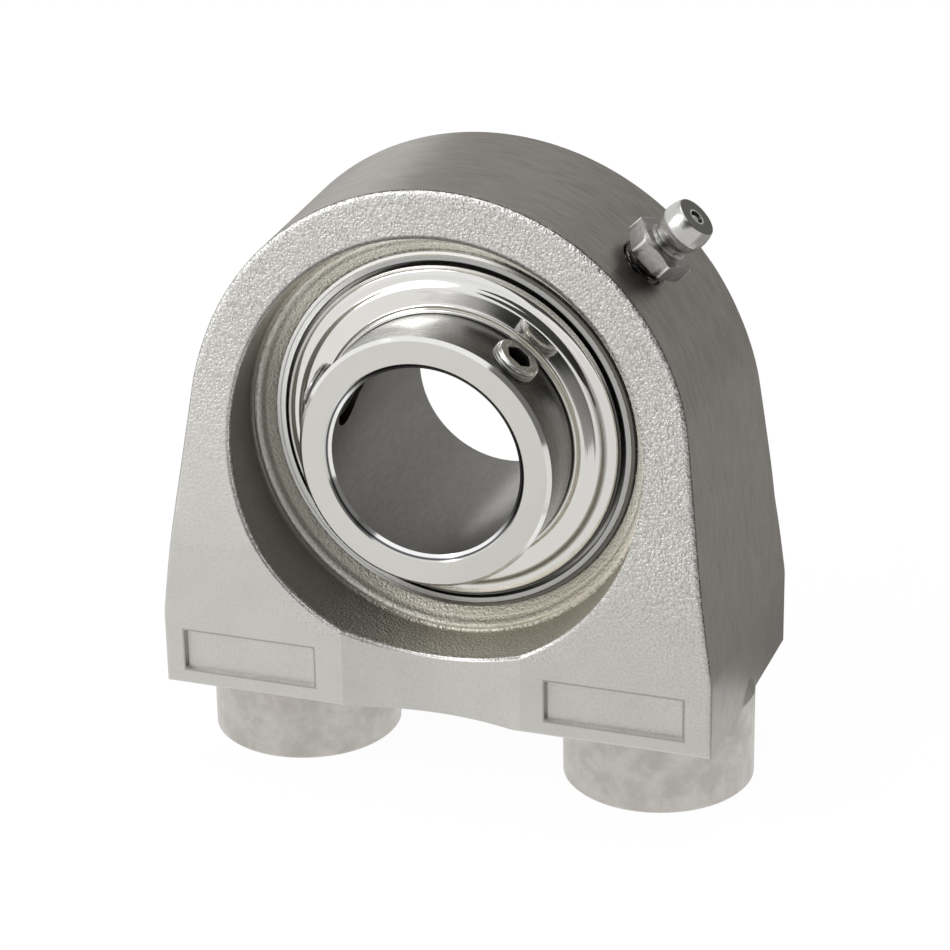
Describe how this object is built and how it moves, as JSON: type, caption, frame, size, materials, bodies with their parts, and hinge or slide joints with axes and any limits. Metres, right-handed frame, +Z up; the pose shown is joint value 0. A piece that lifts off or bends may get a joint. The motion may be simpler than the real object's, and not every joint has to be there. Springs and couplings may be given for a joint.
{
  "type": "pillow block bearing",
  "caption": "Pillow block bearing: cast stainless block on tapped feet, self-aligning ball insert with setscrews, and an angled grease fitting.",
  "frame": {"origin": "on the mounting plane under the feet, midway between the two tapped holes", "axes": "+X along the block from hole to hole, +Y along the shaft away from the setscrew side, +Z up from the feet to the shaft"},
  "size_m": [0.0764, 0.0389, 0.0842],
  "materials": {
    "cast_stainless": "bead-blasted casting with linished faces",
    "ground_steel": "ground and polished",
    "polished_steel": "mirror polished",
    "pressed_steel": "pressed sheet",
    "seal_rubber": "matte",
    "screw_steel": "turned stainless"
  },
  "bodies": {
    "housing": {"housing": "cast_stainless", "grease_fitting": "polished_steel", "grease_check_spring": "screw_steel"},
    "outer": {"outer_ring": "ground_steel", "seal_shield_front": "pressed_steel", "seal_shield_rear": "pressed_steel", "seal_lip_front": "seal_rubber", "seal_lip_rear": "seal_rubber"},
    "inner": {"inner_ring": "ground_steel", "flinger_front": "polished_steel", "flinger_rear": "polished_steel"},
    "cage": {"cage_front": "pressed_steel", "cage_rear": "pressed_steel", "cage_rivets": "pressed_steel"},
    "screw_1": {"setscrew_1": "screw_steel"},
    "screw_2": {"setscrew_2": "screw_steel"},
    "check_ball": {"grease_check_ball": "polished_steel"},
    "ball_1": {"ball_1": "polished_steel"},
    "ball_2": {"ball_2": "polished_steel"},
    "ball_3": {"ball_3": "polished_steel"},
    "ball_4": {"ball_4": "polished_steel"},
    "ball_5": {"ball_5": "polished_steel"},
    "ball_6": {"ball_6": "polished_steel"},
    "ball_7": {"ball_7": "polished_steel"},
    "ball_8": {"ball_8": "polished_steel"},
    "ball_9": {"ball_9": "polished_steel"}
  },
  "joints": [
    {"name": "insert_align", "type": "hinge", "parent": "housing", "child": "outer", "pos_m": [0, 0, 0.0492], "axis": [1, 0, 0], "range_deg": [-2, 2]},
    {"name": "ring_spin", "type": "hinge", "parent": "outer", "child": "inner", "pos_m": [0, 0, 0.0492], "axis": [0, 1, 0], "continuous": true},
    {"name": "cage_orbit", "type": "hinge", "parent": "outer", "child": "cage", "pos_m": [0, 0, 0.0492], "axis": [0, 1, 0], "continuous": true},
    {"name": "ball_1_roll", "type": "hinge", "parent": "cage", "child": "ball_1", "pos_m": [0, 0, 0.0687], "axis": [0, 1, 0], "continuous": true},
    {"name": "ball_2_roll", "type": "hinge", "parent": "cage", "child": "ball_2", "pos_m": [-0.01253, 0, 0.06414], "axis": [0, 1, 0], "continuous": true},
    {"name": "ball_3_roll", "type": "hinge", "parent": "cage", "child": "ball_3", "pos_m": [-0.0192, 0, 0.05259], "axis": [0, 1, 0], "continuous": true},
    {"name": "ball_4_roll", "type": "hinge", "parent": "cage", "child": "ball_4", "pos_m": [-0.01689, 0, 0.03945], "axis": [0, 1, 0], "continuous": true},
    {"name": "ball_5_roll", "type": "hinge", "parent": "cage", "child": "ball_5", "pos_m": [-0.00667, 0, 0.03088], "axis": [0, 1, 0], "continuous": true},
    {"name": "ball_6_roll", "type": "hinge", "parent": "cage", "child": "ball_6", "pos_m": [0.00667, 0, 0.03088], "axis": [0, 1, 0], "continuous": true},
    {"name": "ball_7_roll", "type": "hinge", "parent": "cage", "child": "ball_7", "pos_m": [0.01689, 0, 0.03945], "axis": [0, 1, 0], "continuous": true},
    {"name": "ball_8_roll", "type": "hinge", "parent": "cage", "child": "ball_8", "pos_m": [0.0192, 0, 0.05259], "axis": [0, 1, 0], "continuous": true},
    {"name": "ball_9_roll", "type": "hinge", "parent": "cage", "child": "ball_9", "pos_m": [0.01253, 0, 0.06414], "axis": [0, 1, 0], "continuous": true},
    {"name": "screw_1_travel", "type": "slide", "parent": "inner", "child": "screw_1", "axis": [0.6293, 0, 0.7771], "range_m": [-0.0005, 0.0035]},
    {"name": "screw_2_travel", "type": "slide", "parent": "inner", "child": "screw_2", "axis": [-0.9135, 0, 0.4067], "range_m": [-0.0005, 0.0035]},
    {"name": "check_ball_lift", "type": "slide", "parent": "housing", "child": "check_ball", "axis": [0.7108, 0, 0.7034], "range_m": [-0.0008, 0], "stiffness_N_per_m": 150, "deforming": ["grease_check_spring"]}
  ],
  "couplings": [
    {"joint": "cage_orbit", "follows": "ring_spin", "ratio": 0.39823},
    {"joint": "ball_1_roll", "follows": "ring_spin", "ratio": -2.3548},
    {"joint": "ball_2_roll", "follows": "ring_spin", "ratio": -2.3548},
    {"joint": "ball_3_roll", "follows": "ring_spin", "ratio": -2.3548},
    {"joint": "ball_4_roll", "follows": "ring_spin", "ratio": -2.3548},
    {"joint": "ball_5_roll", "follows": "ring_spin", "ratio": -2.3548},
    {"joint": "ball_6_roll", "follows": "ring_spin", "ratio": -2.3548},
    {"joint": "ball_7_roll", "follows": "ring_spin", "ratio": -2.3548},
    {"joint": "ball_8_roll", "follows": "ring_spin", "ratio": -2.3548},
    {"joint": "ball_9_roll", "follows": "ring_spin", "ratio": -2.3548}
  ]
}
